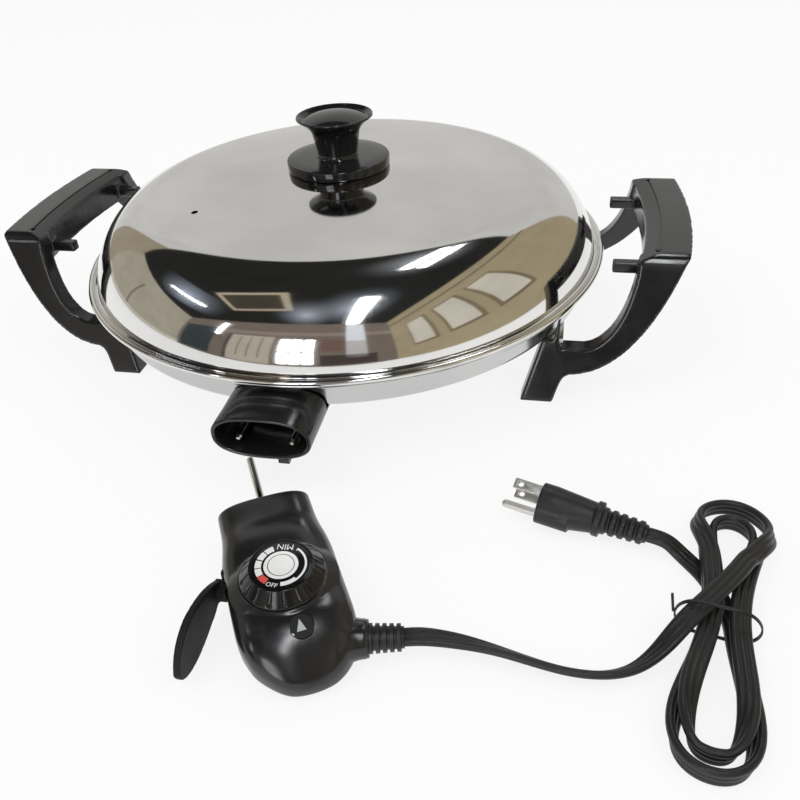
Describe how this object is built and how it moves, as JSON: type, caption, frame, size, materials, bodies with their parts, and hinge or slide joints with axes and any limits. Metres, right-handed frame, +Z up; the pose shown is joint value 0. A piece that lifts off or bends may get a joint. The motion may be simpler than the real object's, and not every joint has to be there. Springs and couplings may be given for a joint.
{
  "type": "electric skillet",
  "caption": "Round electric skillet with a lift-off domed steel lid, handle-and-leg mouldings, socket guard, and a plug-in probe control on a tied flat cord.",
  "frame": {"origin": "on the pan axis at table height", "axes": "+Z up, the socket guard faces -Y, the handles lie along +X and -X"},
  "size_m": [0.5629, 0.5816, 0.1726],
  "materials": {
    "pan_steel": "satin",
    "cast_aluminium": "cast",
    "element_steel": "satin",
    "pin_nickel": "polished",
    "ceramic": "matte",
    "sleeve_aluminium": "satin",
    "dark_phenolic": "gloss",
    "screw_steel": "satin",
    "bracket_steel": "satin",
    "polished_steel": "mirror polish",
    "cap_plastic": "gloss",
    "control_plastic": "satin gloss",
    "contact_brass": "satin",
    "lamp_glass": "clear",
    "lens_plastic": "gloss",
    "cord_rubber": "matte",
    "tie_plastic": "matte",
    "dial_print": "printed"
  },
  "bodies": {
    "pan": {"pan_body": "pan_steel", "heat_plate": "cast_aluminium", "heating_element": "element_steel", "terminal_pins": "pin_nickel", "terminal_bushes": "ceramic", "probe_sleeve": "sleeve_aluminium", "socket_guard": "dark_phenolic", "guard_screws": "screw_steel", "handle_right": "dark_phenolic", "handle_left": "dark_phenolic", "handle_brackets": "bracket_steel", "handle_screws": "screw_steel"},
    "lid": {"lid_shell": "polished_steel", "knob_guard": "dark_phenolic", "knob_grip": "dark_phenolic", "knob_cap": "cap_plastic", "knob_stud": "screw_steel", "knob_washer": "screw_steel", "knob_nut": "screw_steel"},
    "control": {"control_top": "control_plastic", "control_base": "control_plastic", "control_screws": "screw_steel", "contact_block": "ceramic", "contact_sleeves": "contact_brass", "probe_rod": "pin_nickel", "thermostat_block": "ceramic", "bimetal_strip": "contact_brass", "contact_arm": "contact_brass", "neon_lamp": "lamp_glass", "lamp_lens": "lens_plastic", "lever_pin": "screw_steel", "strain_relief": "cord_rubber", "cord_lead": "cord_rubber", "cord_hank": "cord_rubber", "cord_tail": "cord_rubber", "cord_tie": "tie_plastic", "plug_body": "cord_rubber", "plug_blades": "pin_nickel", "plug_ground_pin": "pin_nickel"},
    "dial": {"dial_knob": "dark_phenolic", "dial_plate": "dial_print", "dial_shaft": "screw_steel"},
    "lever": {"release_lever": "control_plastic"}
  },
  "joints": [
    {"name": "lid_lift", "type": "slide", "parent": "pan", "child": "lid", "axis": [0, 0, 1], "range_m": [0, 0.15]},
    {"name": "control_pull", "type": "slide", "parent": "pan", "child": "control", "axis": [0.4879, -0.8729, 0], "range_m": [0, 0.1]},
    {"name": "dial_turn", "type": "hinge", "parent": "control", "child": "dial", "pos_m": [0.04271, -0.31874, 0.0342], "axis": [0.0255, -0.0457, 0.9986], "range_deg": [0, 300]},
    {"name": "lever_swing", "type": "hinge", "parent": "control", "child": "lever", "pos_m": [0.00885, -0.31246, 0.017], "axis": [0, 0, 1], "range_deg": [0, 26]}
  ]
}
